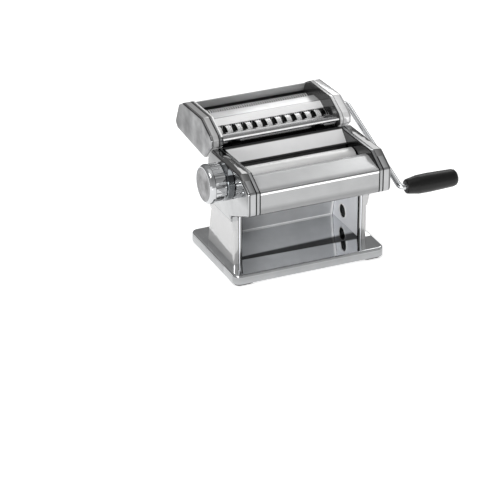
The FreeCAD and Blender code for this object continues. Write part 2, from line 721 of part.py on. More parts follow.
def cutting_roller(y, strip, first_disc, has_socket):
    """Discs and grooves turned from one bar. Two rollers of a pair mesh disc into groove."""
    half = SHEET_WIDTH / 2
    end = half + 0.4
    pitch = 2 * strip
    left = -end
    profile = [(-CUT_GEAR_OUT, CUT_JOURNAL), (left, CUT_JOURNAL), (left, CUT_CORE)]
    start = -half + first_disc * strip
    while start < half - 0.01:
        x0 = max(start, -half) + DISC_PLAY / 2
        x1 = min(start + strip, half) - DISC_PLAY / 2
        profile += [(x0, CUT_CORE), (x0, CUT_R), (x1, CUT_R), (x1, CUT_CORE)]
        start += pitch
    profile += [(end, CUT_CORE), (end, DRIVE_END_R)]
    if not has_socket:
        profile += [(CUT_FRAME_FACE + 5.0, DRIVE_END_R)]
        return turned(profile, y, CUT_Z)
    profile += [(CUT_FACE + 0.6, DRIVE_END_R)]
    return socketed(turned(profile, y, CUT_Z), y, CUT_Z, CUT_FACE + 0.6)


def cutter_gear(y, phase):
    """Stub teeth, so that the gear clears the cover around it."""
    pitch_r = CUT_DISTANCE / 2
    tooth = math.pi * CUT_MODULE / 2 - 0.15
    return gear(CUT_TEETH, pitch_r, pitch_r + 0.5 * CUT_MODULE, pitch_r - 0.8 * CUT_MODULE, tooth, phase,
                -CUT_GEAR_OUT, -CUT_GEAR_IN, y, CUT_Z, CUT_JOURNAL)


COMB_TIP = 3.5                 # how far the fingers pass the roller's axis
COMB_ROOT = 7.3                # from the axis to where the fingers start
COMB_BACK = 8.9


def comb(y, strip, first_disc, side):
    """A strip of fingers that reach under a cutting roller's core, between its discs."""
    top = CUT_Z - CUT_CORE - 0.4
    bottom = top - 1.2
    reach = y - side * COMB_TIP
    low, high = sorted((reach, y + side * COMB_BACK))
    comb_plate = block(-CUT_FRAME_FACE, CUT_FRAME_FACE, low, high, bottom, top)
    half = SHEET_WIDTH / 2
    slot_low, slot_high = sorted((reach - side, y + side * COMB_ROOT))
    start = -half + first_disc * strip
    slots = []
    while start < half - 0.01:
        x0 = max(start, -half) - 0.2
        x1 = min(start + strip, half) + 0.2
        slots.append(block(x0, x1, slot_low, slot_high, bottom - 1, top + 1))
        start += 2 * strip
    return comb_plate.cut(group(slots))


def combs(front_y, strip):
    rear_y = front_y + CUT_DISTANCE
    return group([comb(front_y, strip, 0, -1), comb(rear_y, strip, 1, 1)])


def cutter_divider():
    """The roof between the two feeds: flat on top, with a lip down to each pair of rollers."""
    path = [(93.6, 150.2, 0), (90.8, 154.0, 2.0), (71.5, 154.0, 3.0), (61.4, 149.5, 0)]
    return sheet(path, 1.2, -CUT_FRAME_FACE, CUT_FRAME_FACE)


def cutter_rear_plate():
    path = [(121.2, 134.0, 0), (126.6, 135.6, 2.0), (115.9, 160.2, 1.5), (113.9, 161.3, 0)]
    return sheet(path, PANEL_WALL, -CUT_FRAME_FACE, CUT_FRAME_FACE)


NOSE_WALL_Y = 25.4
TONGUE_X = 55.0
TONGUE_HALF = 6.0
TONGUE_WALL = 1.5
RAIL_PLAY = 0.6
RAIL_BOTTOM = 88.0
RAIL_TOP = 120.0
RAIL_FLOOR = 2.0


def cutter_front_plate():
    """Feed lip, folded nose and the wall that the tongues hang from."""
    path = [(35.0, 150.4, 0), (21.6, 153.7, 1.8), (16.2, 150.6, 1.8), (NOSE_WALL_Y, 141.2, 3.0),
            (NOSE_WALL_Y, 136.8, 0)]
    return sheet(path, PANEL_WALL, -CUT_FRAME_FACE, CUT_FRAME_FACE)


def mounting_tongues():
    """Two tongues on the front wall of the cutter unit that drop into the body's rails."""
    back = HEAD_REAR + 0.7 + TONGUE_WALL
    path = [(back, RAIL_BOTTOM + RAIL_FLOOR + 0.3, 0), (back, 131.2, 2.0), (NOSE_WALL_Y, 135.6, 2.0),
            (NOSE_WALL_Y, 139.6, 0)]
    tongue = sheet(path, TONGUE_WALL, TONGUE_X - TONGUE_HALF, TONGUE_X + TONGUE_HALF)
    return group([tongue, mirrored(tongue)])


def attachment_rails():
    """Two channels on the rear cover, open upwards, that the tongues slide into."""
    inner = TONGUE_HALF + RAIL_PLAY
    outer = inner + 1.2
    front = HEAD_REAR + 0.7 + TONGUE_WALL + RAIL_PLAY
    floor = RAIL_BOTTOM + RAIL_FLOOR
    rail = block(TONGUE_X - outer, TONGUE_X + outer, HEAD_REAR, front + 1.2, RAIL_BOTTOM, RAIL_TOP)
    rail = rail.cut(block(TONGUE_X - inner, TONGUE_X + inner, HEAD_REAR - 1, front, floor, RAIL_TOP + 1))
    rail = rail.cut(block(TONGUE_X - 3.6, TONGUE_X + 3.6, front - 1, front + 2, floor, RAIL_TOP + 1))
    return group([rail, mirrored(rail)])


# ---- crank --------------------------------------------------------------------------------------

CRANK_IN = 81.0
BEND_HUB = 9.0
BEND_GRIP = 6.6


def crank_path():
    """Centre line: out of the socket, along the arm, and out again through the grip."""
    corners = [V(CRANK_IN, FINE_FRONT_Y, CUT_Z), V(CRANK_X, FINE_FRONT_Y, CUT_Z),
               V(CRANK_X, GRIP_Y, GRIP_Z), V(GRIP_START + GRIP_LENGTH - 3.0, GRIP_Y, GRIP_Z)]
    edges = []
    start = corners[0]
    for corner, after, radius in ((corners[1], corners[2], BEND_HUB), (corners[2], corners[3], BEND_GRIP)):
        back = (start - corner).normalize()
        ahead = (after - corner).normalize()
        middle = (back + ahead).normalize()
        entry = corner + back * radius
        leave = corner + ahead * radius
        edges.append(Part.LineSegment(start, entry).toShape())
        edges.append(Part.Arc(entry, corner + middle * radius * (math.sqrt(2) - 1), leave).toShape())
        start = leave
    edges.append(Part.LineSegment(start, corners[3]).toShape())
    return Part.Wire(edges)


def crank_arm():
    path = crank_path()
    ring = Part.Wire(Part.makeCircle(CRANK_ROD_R, V(CRANK_IN, FINE_FRONT_Y, CUT_Z), X_AXIS))
    return path.makePipeShell([ring], True, False).cut(crank_key())


def crank_spigot():
    """The turned end that fits the round bore of a drive socket."""
    end = CUT_FACE + 5.0
    spigot = rod(SOCKET_R - RUNNING, CRANK_IN, end, FINE_FRONT_Y, CUT_Z)
    collar = rod(6.4, CUT_FACE + 1.2, end, FINE_FRONT_Y, CUT_Z)
    spigot = spigot.fuse(collar).cut(rod(CRANK_ROD_R, 60, 120, FINE_FRONT_Y, CUT_Z))
    return spigot.cut(crank_key())


def crank_key():
    """A pin through spigot and rod; its ends drive the notches of a socket."""
    start = V(CUT_FACE - 1.6, FINE_FRONT_Y - KEY_HALF, CUT_Z)
    return Part.makeCylinder(KEY_R, 2 * KEY_HALF, start, V(0, 1, 0))


def crank_grip():
    """Hollow handle that turns on the rod: a short collar, a long barrel and a domed end."""
    end = GRIP_LENGTH
    profile = [(0.0, 7.4), (0.8, 8.6), (2.6, 9.2), (16.0, 11.5), (30.0, 11.8), (50.0, 11.2), (62.0, 10.8),
               (65.6, 9.8), (67.4, 8.0), (end, 5.2)]
    grip = turned([(GRIP_START + x, r) for x, r in profile], GRIP_Y, GRIP_Z)
    bore = rod(CRANK_ROD_R + 0.08, GRIP_START - 1, GRIP_START + end - 2.6, GRIP_Y, GRIP_Z)
    return grip.cut(bore)


# ---- export -------------------------------------------------------------------------------------

NODES = {
    "base_plate": base_plate,
    "rubber_feet": rubber_feet,
    "base_bolts": base_bolts,
    "base_nuts": base_nuts,
    "left_frame": lambda: mirrored(right_frame()),
    "right_frame": clamp_frame,
    "left_side_cover": left_side_cover,
    "right_side_cover": right_side_cover,
    "tie_rods": tie_rods,
    "tie_rod_nuts": tie_rod_nuts,
    "front_cover": front_cover,
    "hopper_plate": hopper_plate,
    "rear_cover": rear_cover,
    "rear_panel": rear_panel,
    "rear_scraper": rear_scraper,
    "attachment_rails": attachment_rails,
    "rear_roller": lambda: smooth_roller(REAR_ROLLER_Y),
    "rear_roller_shaft": rear_roller_shaft,
    "rear_roller_gear": lambda: roller_gear(REAR_ROLLER_Y, math.pi / GEAR_TEETH),
    "rear_roller_bushes": rear_roller_bushes,
    "front_roller": lambda: smooth_roller(FRONT_ROLLER_Y),
    "front_roller_shaft": front_roller_shaft,
    "front_roller_gear": lambda: roller_gear(FRONT_ROLLER_Y, 0.0),
    "bearing_blocks": bearing_blocks,
    "carriage_bar": carriage_bar,
    "front_scraper": front_scraper,
    "cam_follower_pin": cam_follower_pin,
    "regulator_housing": regulator_housing,
    "regulator_shaft": regulator_shaft,
    "regulator_cam": regulator_cam,
    "regulator_washer": regulator_washer,
    "thickness_knob": knob,
    "knob_cap": knob_cap,
    "index_pin": index_pin,
    "knob_spring": knob_spring,
    "cutter_left_frame": lambda: mirrored(cutter_frame(LEFT_BUSH_R)),
    "cutter_right_frame": lambda: cutter_frame(RIGHT_BUSH_R),
    "cutter_left_cover": cutter_left_cover,
    "cutter_right_cover": cutter_right_cover,
    "cutter_rear_plate": cutter_rear_plate,
    "cutter_divider": cutter_divider,
    "cutter_front_plate": cutter_front_plate,
    "cutter_tie_rods": cutter_tie_rods,
    "cutter_nuts": cutter_nuts,
    "cutter_bushes": cutter_bushes,
    "mounting_tongues": mounting_tongues,
    "wide_combs": lambda: combs(WIDE_FRONT_Y, WIDE_STRIP),
    "fine_combs": lambda: combs(FINE_FRONT_Y, FINE_STRIP),
    "wide_front_roller": lambda: cutting_roller(WIDE_FRONT_Y, WIDE_STRIP, 0, False),
    "wide_rear_roller": lambda: cutting_roller(WIDE_REAR_Y, WIDE_STRIP, 1, True),
    "fine_front_roller": lambda: cutting_roller(FINE_FRONT_Y, FINE_STRIP, 0, True),
    "fine_rear_roller": lambda: cutting_roller(FINE_REAR_Y, FINE_STRIP, 1, False),
    "wide_front_gear": lambda: cutter_gear(WIDE_FRONT_Y, 0.0),
    "wide_rear_gear": lambda: cutter_gear(WIDE_REAR_Y, math.pi / CUT_TEETH),
    "fine_front_gear": lambda: cutter_gear(FINE_FRONT_Y, 0.0),
    "fine_rear_gear": lambda: cutter_gear(FINE_REAR_Y, math.pi / CUT_TEETH),
    "crank_arm": crank_arm,
    "crank_spigot": crank_spigot,
    "crank_key": crank_key,
    "crank_grip": crank_grip,
}

os.makedirs("parts", exist_ok=True)
for name, make in NODES.items():
    shape = make()
    if not shape.isValid():
        print("not valid:", name)
    print(f"{name:22s} solids {len(shape.Solids):3d}  volume {shape.Volume:10.1f}")
    shape.exportStep(f"parts/{name}.step")
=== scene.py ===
import json
import math

import bmesh
import bpy
from mathutils import Matrix, Vector


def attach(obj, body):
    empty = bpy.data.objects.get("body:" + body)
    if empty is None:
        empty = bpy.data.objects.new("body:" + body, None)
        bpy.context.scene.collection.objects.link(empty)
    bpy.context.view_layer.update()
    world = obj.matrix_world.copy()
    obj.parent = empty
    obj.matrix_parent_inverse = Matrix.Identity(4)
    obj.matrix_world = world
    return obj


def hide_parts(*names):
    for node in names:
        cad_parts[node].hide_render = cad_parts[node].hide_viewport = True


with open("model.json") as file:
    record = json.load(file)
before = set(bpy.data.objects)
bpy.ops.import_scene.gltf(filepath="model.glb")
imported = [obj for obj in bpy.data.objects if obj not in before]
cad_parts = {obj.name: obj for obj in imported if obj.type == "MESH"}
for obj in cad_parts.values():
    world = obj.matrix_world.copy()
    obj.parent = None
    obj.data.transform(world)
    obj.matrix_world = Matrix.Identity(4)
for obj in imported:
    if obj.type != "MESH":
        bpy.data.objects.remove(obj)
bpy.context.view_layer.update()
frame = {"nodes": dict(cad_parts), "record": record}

NODES = frame["nodes"]
BODY_OF = {}
for body, members in frame["record"]["behaviour"]["bodies"].items():
    for member in members:
        BODY_OF[member] = body
SLOT_OF = {s["node"]: s["material_slot"] for s in frame["record"]["subparts"]}
MM = 0.001


# ---- materials --------------------------------------------------------------------------------

class Nodes:
    """Short ways to add and join shader nodes in one material."""

    def __init__(self, name):
        self.material = bpy.data.materials.new(name)
        self.material.use_nodes = True
        self.tree = self.material.node_tree
        self.shader = self.tree.nodes["Principled BSDF"]
        self.coords = self.tree.nodes.new("ShaderNodeTexCoord")

    def add(self, kind, **values):
        node = self.tree.nodes.new(kind)
        for key, value in values.items():
            if hasattr(node, key):
                setattr(node, key, value)
            else:
                node.inputs[key].default_value = value
        return node

    def join(self, source, output, target, socket):
        self.tree.links.new(source.outputs[output], target.inputs[socket])

    def scaled(self, scale):
        """Object coordinates, stretched."""
        mapping = self.add("ShaderNodeMapping")
        mapping.inputs["Scale"].default_value = scale
        self.join(self.coords, "Object", mapping, "Vector")
        return mapping

    def noise(self, scale, size, detail=3.0, roughness=0.55):
        texture = self.add("ShaderNodeTexNoise")
        texture.inputs["Scale"].default_value = size
        texture.inputs["Detail"].default_value = detail
        texture.inputs["Roughness"].default_value = roughness
        self.join(self.scaled(scale), "Vector", texture, "Vector")
        return texture

    def ramp(self, source, output, low, high, start=0.3, end=0.7):
        """Colours or greys that follow a texture."""
        ramp = self.add("ShaderNodeValToRGB")
        ramp.color_ramp.elements[0].position = start
        ramp.color_ramp.elements[1].position = end
        ramp.color_ramp.elements[0].color = grey(low)
        ramp.color_ramp.elements[1].color = grey(high)
        self.join(source, output, ramp, "Fac")
        return ramp

    def sum(self, operation, first, second=None, third=None):
        """A maths node; each term is a number or a (node, output) pair."""
        node = self.add("ShaderNodeMath", operation=operation)
        for socket, term in zip(node.inputs, (first, second, third)):
            if isinstance(term, tuple):
                self.tree.links.new(term[0].outputs[term[1]], socket)
            elif term is not None:
                socket.default_value = term
        return (node, 0)

    def place(self):
        """Object coordinates in millimetres as three terms for sum()."""
        split = self.add("ShaderNodeSeparateXYZ")
        self.join(self.coords, "Object", split, "Vector")
        return [self.sum("MULTIPLY", (split, axis), 1000.0) for axis in range(3)]

    def stepped(self, term, low, high, stops):
        """A grey that follows a length between low and high mm; stops are (mm, value)."""
        part = self.add("ShaderNodeMapRange")
        part.inputs["From Min"].default_value = low
        part.inputs["From Max"].default_value = high
        self.tree.links.new(term[0].outputs[term[1]], part.inputs["Value"])
        ramp = self.add("ShaderNodeValToRGB")
        points = ramp.color_ramp.elements
        for point, (mm, value) in zip(points, (stops[0], stops[-1])):
            point.position = (mm - low) / (high - low)
            point.color = grey(value)
        for mm, value in stops[1:-1]:
            points.new((mm - low) / (high - low)).color = grey(value)
        self.join(part, "Result", ramp, "Fac")
        return (ramp, "Color")

    def darken(self, term):
        """Multiplies the base colour by a grey term."""
        base = self.shader.inputs["Base Color"]
        mix = self.add("ShaderNodeMix", data_type="RGBA", blend_type="MULTIPLY")
        mix.inputs[0].default_value = 1.0
        self.tree.links.new(base.links[0].from_socket, mix.inputs[6])
        self.tree.links.new(term[0].outputs[term[1]], mix.inputs[7])
        self.tree.links.new(mix.outputs[2], base)

    def swap(self, where, socket, value):
        """Puts value on a shader socket in the zone where the term is 1."""
        target = self.shader.inputs[socket]
        colour = socket == "Base Color"
        mix = self.add("ShaderNodeMix", data_type="RGBA" if colour else "FLOAT")
        first, second, result = (6, 7, 2) if colour else (2, 3, 0)
        if target.is_linked:
            self.tree.links.new(target.links[0].from_socket, mix.inputs[first])
        else:
            mix.inputs[first].default_value = target.default_value
        mix.inputs[second].default_value = value
        self.tree.links.new(where[0].outputs[where[1]], mix.inputs[0])
        self.tree.links.new(mix.outputs[result], target)

    def bump(self, source, output, strength, distance):
        bump = self.add("ShaderNodeBump")
        bump.inputs["Strength"].default_value = strength
        bump.inputs["Distance"].default_value = distance
        self.join(source, output, bump, "Height")
        self.join(bump, "Normal", self.shader, "Normal")
        return bump


def grey(value):
    if isinstance(value, (int, float)):
        return (value, value, value, 1.0)
    return (*value, 1.0)


def metal(name, low, high, rough_low, rough_high, grain=(1, 1, 1), grain_size=900.0, grain_bump=0.02,
          ripple=0.0, metallic=1.0):
    """Steel or chrome: a colour that varies a little, a grain in its roughness, and fine bumps.

    grain stretches the texture: a small number runs the brush marks along that axis.
    ripple is the slow unevenness of pressed and polished sheet."""
    n = Nodes(name)
    n.shader.inputs["Metallic"].default_value = metallic
    blotch = n.noise((1, 1, 1), 45.0, 3.0)
    colour = n.ramp(blotch, "Fac", low, high, 0.3, 0.75)
    n.join(colour, "Color", n.shader, "Base Color")
    streak = n.noise(grain, grain_size, 4.0)
    rough = n.ramp(streak, "Fac", rough_low, rough_high, 0.35, 0.68)
    n.join(rough, "Color", n.shader, "Roughness")
    fine = n.bump(streak, "Fac", grain_bump, 0.0002)
    if ripple:
        slow = n.noise((1, 1, 1), 28.0, 2.0)
        wave = n.add("ShaderNodeBump")
        wave.inputs["Strength"].default_value = ripple
        wave.inputs["Distance"].default_value = 0.004
        n.join(slow, "Fac", wave, "Height")
        n.join(wave, "Normal", fine, "Normal")
    return n


def matt(name, low, high, rough, size, strength):
    """Rubber or plastic with a fine moulded texture."""
    n = Nodes(name)
    patch = n.noise((1, 1, 1), size, 4.0)
    colour = n.ramp(patch, "Fac", low, high, 0.3, 0.7)
    n.join(colour, "Color", n.shader, "Base Color")
    n.shader.inputs["Roughness"].default_value = rough
    n.shader.inputs["Specular IOR Level"].default_value = 0.3
    n.bump(patch, "Fac", strength, 0.0003)
    return n


ALONG_X = (0.02, 1, 1)
ALONG_Z = (1, 1, 0.03)
EVEN = (1, 1, 1)
HOLE_Y = 11.6
HOLE_Z = 30.6
DIVIDER_LIP = 72.2


# The finishes below are set out by place, in millimetres of the rest frame.

def from_middle(n):
    """Distance from the middle plane."""
    return n.sum("ABSOLUTE", n.place()[0])


def toward_camera(n, y, z):
    """Lines that run along X share one value of this sum in the photo's view."""
    return n.sum("ADD", n.sum("MULTIPLY", y, 0.456), n.sum("MULTIPLY", z, 0.89))


def from_axis(n, y, z, axis_y, axis_z):
    """Distance from an axis parallel to X."""
    out = n.sum("SUBTRACT", y, axis_y)
    up = n.sum("SUBTRACT", z, axis_z)
    return n.sum("SQRT", n.sum("ADD", n.sum("MULTIPLY", out, out), n.sum("MULTIPLY", up, up)))


def base_finish():
    """The pressed base falls away slightly outside a crease that joins the fronts of the legs; painted shade makes a
    dark line along the crease and darkens the low walls of the base.
    """
    n = metal("polished_base", (0.62, 0.63, 0.64), (0.70, 0.71, 0.72), 0.04, 0.08, EVEN, 500, 0.01, 0.06)
    x, y, z = n.place()
    crease = n.sum("ADD", y, 27.4)
    width = n.sum("MULTIPLY_ADD", x, 0.034, 6.6)
    across = n.sum("ABSOLUTE", x)
    # painted shade: a dark line along the crease, inside |x| < 80 mm
    painted_crease_shade = n.stepped(n.sum("DIVIDE", crease, width), -2.0, 2.0, (
        (-2.0, 1.0), (-1.15, 1.0), (-0.85, 0.05), (0.7, 0.05), (1.3, 1.0), (2.0, 1.0)))
    n.darken(n.sum("MAXIMUM", painted_crease_shade, n.sum("GREATER_THAN", across, 80.0)))
    # painted shade on the low walls of the base, deepest in a thin line just below its top edge
    n.darken(n.stepped(z, 0.0, 16.0, (
        (0.0, 0.35), (2.6, 0.62), (10.5, 0.52), (11.6, 0.62), (12.4, 0.16), (13.2, 1.0), (16.0, 1.0))))
    forward = n.sum("MAXIMUM", n.sum("MULTIPLY_ADD", crease, -1.0, -7.0), 0.0)
    sideways = n.sum("MAXIMUM", n.sum("SUBTRACT", across, 87.0), 0.0)
    fall = n.sum("ADD", n.sum("MULTIPLY", forward, 0.126), n.sum("MULTIPLY", sideways, 0.10))
    slope = n.add("ShaderNodeBump", Strength=1.0, Distance=MM)
    n.tree.links.new(fall[0].outputs[fall[1]], slope.inputs["Height"])
    last = n.shader.inputs["Normal"].links[0].from_node
    while last.inputs["Normal"].is_linked:
        last = last.inputs["Normal"].links[0].from_node
    n.join(slope, "Normal", last, "Normal")
    return n


def frame_finish():
    """The frame has painted shade along its seams, lighter within the hole of each leg, and painted highlights on the
    rear flange and around the hole's lip; the dished inner face of each leg is paler and duller.
    """
    n = metal("satin_frame", (0.36, 0.365, 0.37), (0.43, 0.435, 0.44), 0.14, 0.24, ALONG_Z, 900, 0.03, 0.05)
    x, y, z = n.place()
    across = n.sum("ABSOLUTE", x)
    # painted shade along the seams, lighter within the hole of each leg
    painted_seam_shade = n.stepped(across, 74.0, 84.0, (
        (74.0, 0.06), (77.3, 0.06), (77.8, 1.0), (80.5, 1.0), (80.8, 0.05), (84.0, 0.05)))
    painted_seam_shade = n.sum("MAXIMUM", painted_seam_shade, n.sum("GREATER_THAN", y, 22.0))
    from_hole = from_axis(n, y, z, HOLE_Y, HOLE_Z)
    n.darken(n.sum("MAXIMUM", painted_seam_shade, n.sum("MULTIPLY", n.sum("LESS_THAN", from_hole, 9.6), 0.45)))
    # painted highlight: the rear flange of each leg is white and not metallic
    painted_flange_highlight = n.sum("MULTIPLY", n.sum("GREATER_THAN", y, 18.0), n.sum("LESS_THAN", across, 78.5))
    n.swap(painted_flange_highlight, "Base Color", grey(0.95))
    n.swap(painted_flange_highlight, "Metallic", 0.0)
    recess = n.sum("MULTIPLY", n.sum("COMPARE", across, 79.9, 0.5), n.sum("LESS_THAN", z, 76.8))
    n.swap(recess, "Base Color", grey((0.95, 0.965, 1.0)))
    n.swap(recess, "Metallic", 0.0)
    n.swap(recess, "Roughness", 0.42)
    # painted highlight: a pale ring around the lip of the hole
    painted_lip_highlight = n.sum("MULTIPLY", recess, n.sum("COMPARE", from_hole, 9.2, 0.8))
    n.swap(painted_lip_highlight, "Base Color", grey(0.98))
    return n


def rear_sheet_finish():
    """The bottom fold of the rear panel has a painted highlight."""
    n = metal("rear_sheet", (0.56, 0.57, 0.585), (0.62, 0.63, 0.645), 0.34, 0.44, ALONG_X, 1500, 0.04, 0.03, 0.3)
    # painted highlight: the bottom of the panel is white and not metallic
    foot = n.sum("LESS_THAN", n.place()[2], 16.4)
    n.swap(foot, "Base Color", grey(1.0))
    n.swap(foot, "Metallic", 0.0)
    return n


def painted_cover_edge_shade(n):
    """Chrome with painted shade along its seam and along its outer rounding, weaker on the legs."""
    x, y, z = n.place()
    # painted shade in bands by distance from the middle plane
    edges = n.stepped(n.sum("ABSOLUTE", x), 78.0, 94.0, (
        (78.0, 0.05), (82.0, 0.05), (82.5, 1.0), (88.4, 1.0), (89.2, 0.3), (90.3, 0.3), (90.9, 1.0), (94.0, 1.0)))
    n.darken(n.sum("MAXIMUM", edges, n.sum("MULTIPLY", n.sum("LESS_THAN", z, 76.0), 0.7)))


def cover_finish(name):
    """Side cover of the head: painted shade over its upper facets and, on its flat side, painted shade deepening
    towards the top.
    """
    n = metal(name, (0.40, 0.405, 0.41), (0.48, 0.485, 0.49), 0.05, 0.10, EVEN, 500, 0.01, 0.12)
    x, y, z = n.place()
    painted_cover_edge_shade(n)
    # painted shade: the upper facets get a dark base colour
    painted_facet_shade = n.sum("MULTIPLY", n.sum("LESS_THAN", y, 4.0), n.sum("GREATER_THAN", z, 140.0))
    n.swap(painted_facet_shade, "Base Color", grey(0.26))
    leg = n.sum("LESS_THAN", z, 72.0)
    n.swap(leg, "Metallic", 0.45)
    n.swap(leg, "Base Color", grey(0.50))
    # painted shade on the flat side, deeper towards the top
    side = n.stepped(z, 60.0, 150.0, ((60.0, 1.0), (110.0, 1.0), (122.0, 0.60), (150.0, 0.50)))
    n.darken(n.sum("MAXIMUM", side, n.sum("LESS_THAN", n.sum("ABSOLUTE", x), 91.5)))
    return n


def cap_finish():
    """Left cover of the cutter unit: a pale rim, and a flat face with painted reflections in soft dark and light
    patches.
    """
    n = metal("cap_finish", (0.14, 0.14, 0.145), (0.44, 0.445, 0.45), 0.05, 0.10, EVEN, 500, 0.01, 0.12)
    rim = n.sum("LESS_THAN", from_middle(n), 90.6)
    n.swap(rim, "Base Color", grey(0.55))
    n.swap(rim, "Metallic", 0.35)
    painted_cover_edge_shade(n)
    # painted reflections: dark and light patches across the flat face, by Y
    painted_reflection_patches = n.stepped(n.place()[1], 0.0, 130.0, (
        (0.0, 1.0), (38.0, 0.95), (46.0, 0.62), (70.0, 0.78), (84.0, 0.45), (104.0, 0.65), (118.0, 0.34),
        (130.0, 0.5)))
    n.darken(n.sum("MAXIMUM", painted_reflection_patches, rim))
    return n


def rim_finish(name):
    """Right cover of the cutter unit: a bright rim, with painted shade on the inner wall, along the seam and along
    the outer rounding.
    """
    n = metal(name, (0.80, 0.80, 0.805), (0.88, 0.88, 0.885), 0.10, 0.16, EVEN, 500, 0.01, 0.05, 0.4)
    # painted shade in bands by distance from the middle plane
    n.darken(n.stepped(from_middle(n), 74.0, 94.0, (
        (74.0, 0.06), (76.6, 0.06), (77.3, 1.0), (80.0, 1.0), (80.3, 0.35), (81.0, 0.35), (81.3, 1.0), (88.4, 1.0),
        (89.2, 0.5), (90.3, 0.5), (90.9, 1.0), (94.0, 1.0))))
    return n


def front_finish():
    """The front cover: smooth, with a painted highlight along the fold; below its top slope, painted shade over a
    greyer front that deepens towards its lower edge.
    """
    n = metal("front_finish", (0.62, 0.625, 0.63), (0.68, 0.685, 0.69), 0.16, 0.22, ALONG_X, 900, 0.008)
    x, y, z = n.place()
    # painted shade below the top slope, deeper towards the lower edge
    n.darken(n.stepped(z, 98.0, 138.0, (
        (98.0, 0.40), (104.0, 0.44), (107.0, 0.42), (112.0, 0.60), (125.0, 0.60), (130.0, 0.62), (131.4, 0.62),
        (132.4, 1.0), (138.0, 1.0))))
    # painted highlight: the fold is white and not metallic
    painted_fold_highlight = n.sum("MULTIPLY", n.sum("COMPARE", z, 127.8, 1.1), n.sum("LESS_THAN", y, -91.0))
    n.swap(painted_fold_highlight, "Base Color", grey(1.0))
    slope = n.sum("GREATER_THAN", z, 130.4)
    n.swap(slope, "Metallic", 0.35)
    return n


def hopper_finish():
    """The hopper plate has painted shade at its foot, in the nip, and where it runs in under the cutter unit."""
    n = metal("hopper_finish", (0.86, 0.86, 0.865), (0.93, 0.93, 0.935), 0.30, 0.42, ALONG_X, 1500, 0.03, 0.04, 0.2)
    # painted shade at the foot and under the cutter unit
    n.darken(n.stepped(n.place()[1], -6.0, 18.0, (
        (-6.0, 0.03), (-3.5, 0.03), (-3.0, 1.0), (9.6, 1.0), (10.6, 0.06), (18.0, 0.06))))
    return n


def rear_cover_finish():
    """The rear cover has painted shade where it runs in under the cutter unit."""
    n = metal("rear_cover_finish", (0.52, 0.52, 0.525), (0.58, 0.58, 0.585), 0.22, 0.34, ALONG_X, 1500, 0.05, 0.04)
    # painted shade near the top, under the cutter unit
    n.darken(n.stepped(n.place()[2], 137.5, 141.0, ((137.5, 1.0), (138.5, 1.0), (140.0, 0.06), (141.0, 0.06))))
    return n


def disc_finish(name, axis_y, metallic):
    """Cutting discs: pale rims, with painted shade on their sides and the core between them, and a painted shadow of
    the front plate over their lower part.
    """
    n = metal(name, (0.84, 0.84, 0.84), (0.92, 0.92, 0.92), 0.24, 0.34, EVEN, 900, 0.03, 0.0, metallic)
    x, y, z = n.place()
    radius = from_axis(n, y, z, axis_y, 138.0)
    # painted shade on the disc sides and the core
    n.darken(n.stepped(radius, 6.0, 12.0, ((6.0, 0.01), (10.3, 0.01), (10.42, 1.0), (12.0, 1.0))))
    # painted shadow of the front plate, by height in the view
    n.darken(n.stepped(toward_camera(n, y, z), 140.0, 160.0, (
        (140.0, 0.4), (150.0, 0.4), (151.2, 1.0), (160.0, 1.0))))
    n.shader.inputs["Specular IOR Level"].default_value = 0.08
    return n


def divider_finish():
    """The plate between the two pairs of rollers: pale, with a painted highlight on its lip towards the front and a
    thin line of painted shade behind the lip.
    """
    n = metal("divider_finish", (0.84, 0.845, 0.85), (0.90, 0.905, 0.91), 0.20, 0.30, ALONG_X, 1500, 0.02, 0.02, 0.45)
    y = n.place()[1]
    # painted shade, left showing only in a thin line behind the lip
    n.darken(n.stepped(y, 60.0, 96.0, ((60.0, 0.55), (74.0, 0.55), (75.0, 1.0), (96.0, 1.0))))
    # painted highlight: the lip is white and not metallic
    painted_lip_highlight = n.sum("LESS_THAN", y, DIVIDER_LIP)
    n.swap(painted_lip_highlight, "Metallic", 0.0)
    n.swap(painted_lip_highlight, "Base Color", grey(1.0))
    return n


def nose_finish():
    """The cutter's front plate has painted shade in its rolled groove and in bands across it, with a painted
    highlight line under the groove.
    """
    n = metal("nose_finish", (0.70, 0.70, 0.71), (0.78, 0.78, 0.79), 0.14, 0.22, ALONG_X, 1500, 0.04, 0.04)
    x, y, z = n.place()
    down = toward_camera(n, y, z)
    # painted shade in bands, by height in the view
    n.darken(n.stepped(down, 136.0, 152.0, (
        (136.0, 0.12), (137.0, 0.12), (137.6, 0.05), (139.2, 0.06), (139.9, 0.30), (141.3, 0.38), (141.9, 1.0),
        (143.5, 1.0), (144.0, 0.40), (147.3, 0.46), (148.0, 1.0), (149.2, 1.0), (149.8, 0.2), (152.0, 0.2))))
    # painted highlight: a white, non-metallic line under the groove
    painted_nose_highlight = n.sum("COMPARE", down, 142.7, 0.8)
    n.swap(painted_nose_highlight, "Metallic", 0.0)
    n.swap(painted_nose_highlight, "Base Color", grey(1.0))
    return n


def cutter_rear_finish():
    """The cutter's rear plate has a painted shadow along the foot of its inner face, behind the fine rollers, and
    painted shade on its outer side.
    """
    n = metal("rear_plate_finish", (0.72, 0.725, 0.73), (0.78, 0.785, 0.79), 0.38, 0.48, ALONG_X, 1500, 0.04, 0.03,
              0.55)
    x, y, z = n.place()
    # painted shadow along the foot, and painted shade on the outer side
    foot = n.stepped(z, 140.0, 160.0, ((140.0, 0.02), (148.0, 0.02), (149.6, 1.0), (160.0, 1.0)))
    painted_outside_shade = n.sum("GREATER_THAN", n.sum("ADD", n.sum("MULTIPLY", y, 0.92), n.sum("MULTIPLY", z, 0.4)), 170.2)
    n.darken(n.sum("MAXIMUM", foot, painted_outside_shade))
    return n


